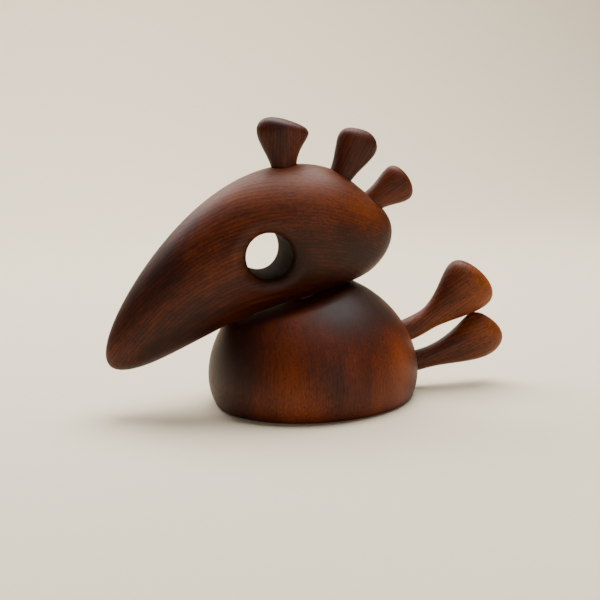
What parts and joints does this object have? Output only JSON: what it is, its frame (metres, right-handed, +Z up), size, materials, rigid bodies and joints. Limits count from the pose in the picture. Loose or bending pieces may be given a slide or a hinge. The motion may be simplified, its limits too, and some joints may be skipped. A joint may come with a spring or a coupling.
{
  "type": "carved wooden bird figure",
  "caption": "Carved hardwood bird with a domed body, a turning head, a hole through it for an eye, and paddle-shaped crest and tail feathers.",
  "frame": {"origin": "centre of the flat base face, on the table", "axes": "+Z up, +X from the beak towards the tail, +Y to the bird's left; the bird's mirror plane is y = 0"},
  "size_m": [0.2502, 0.13, 0.1741],
  "materials": {
    "body_wood": "satin oiled",
    "dowel_wood": "bare",
    "head_wood": "satin oiled",
    "crest_wood": "satin oiled",
    "tail_wood": "satin oiled"
  },
  "bodies": {
    "body": {"body": "body_wood", "neck_dowel": "dowel_wood", "tail_feather_upper": "tail_wood", "tail_feather_lower": "tail_wood"},
    "head": {"head": "head_wood", "crest_feather_front": "crest_wood", "crest_feather_middle": "crest_wood", "crest_feather_rear": "crest_wood"}
  },
  "joints": [
    {"name": "head_swivel", "type": "hinge", "parent": "body", "child": "head", "pos_m": [-0.002, 0, 0.06496], "axis": [-0.2588, 0, 0.9659], "continuous": true}
  ]
}
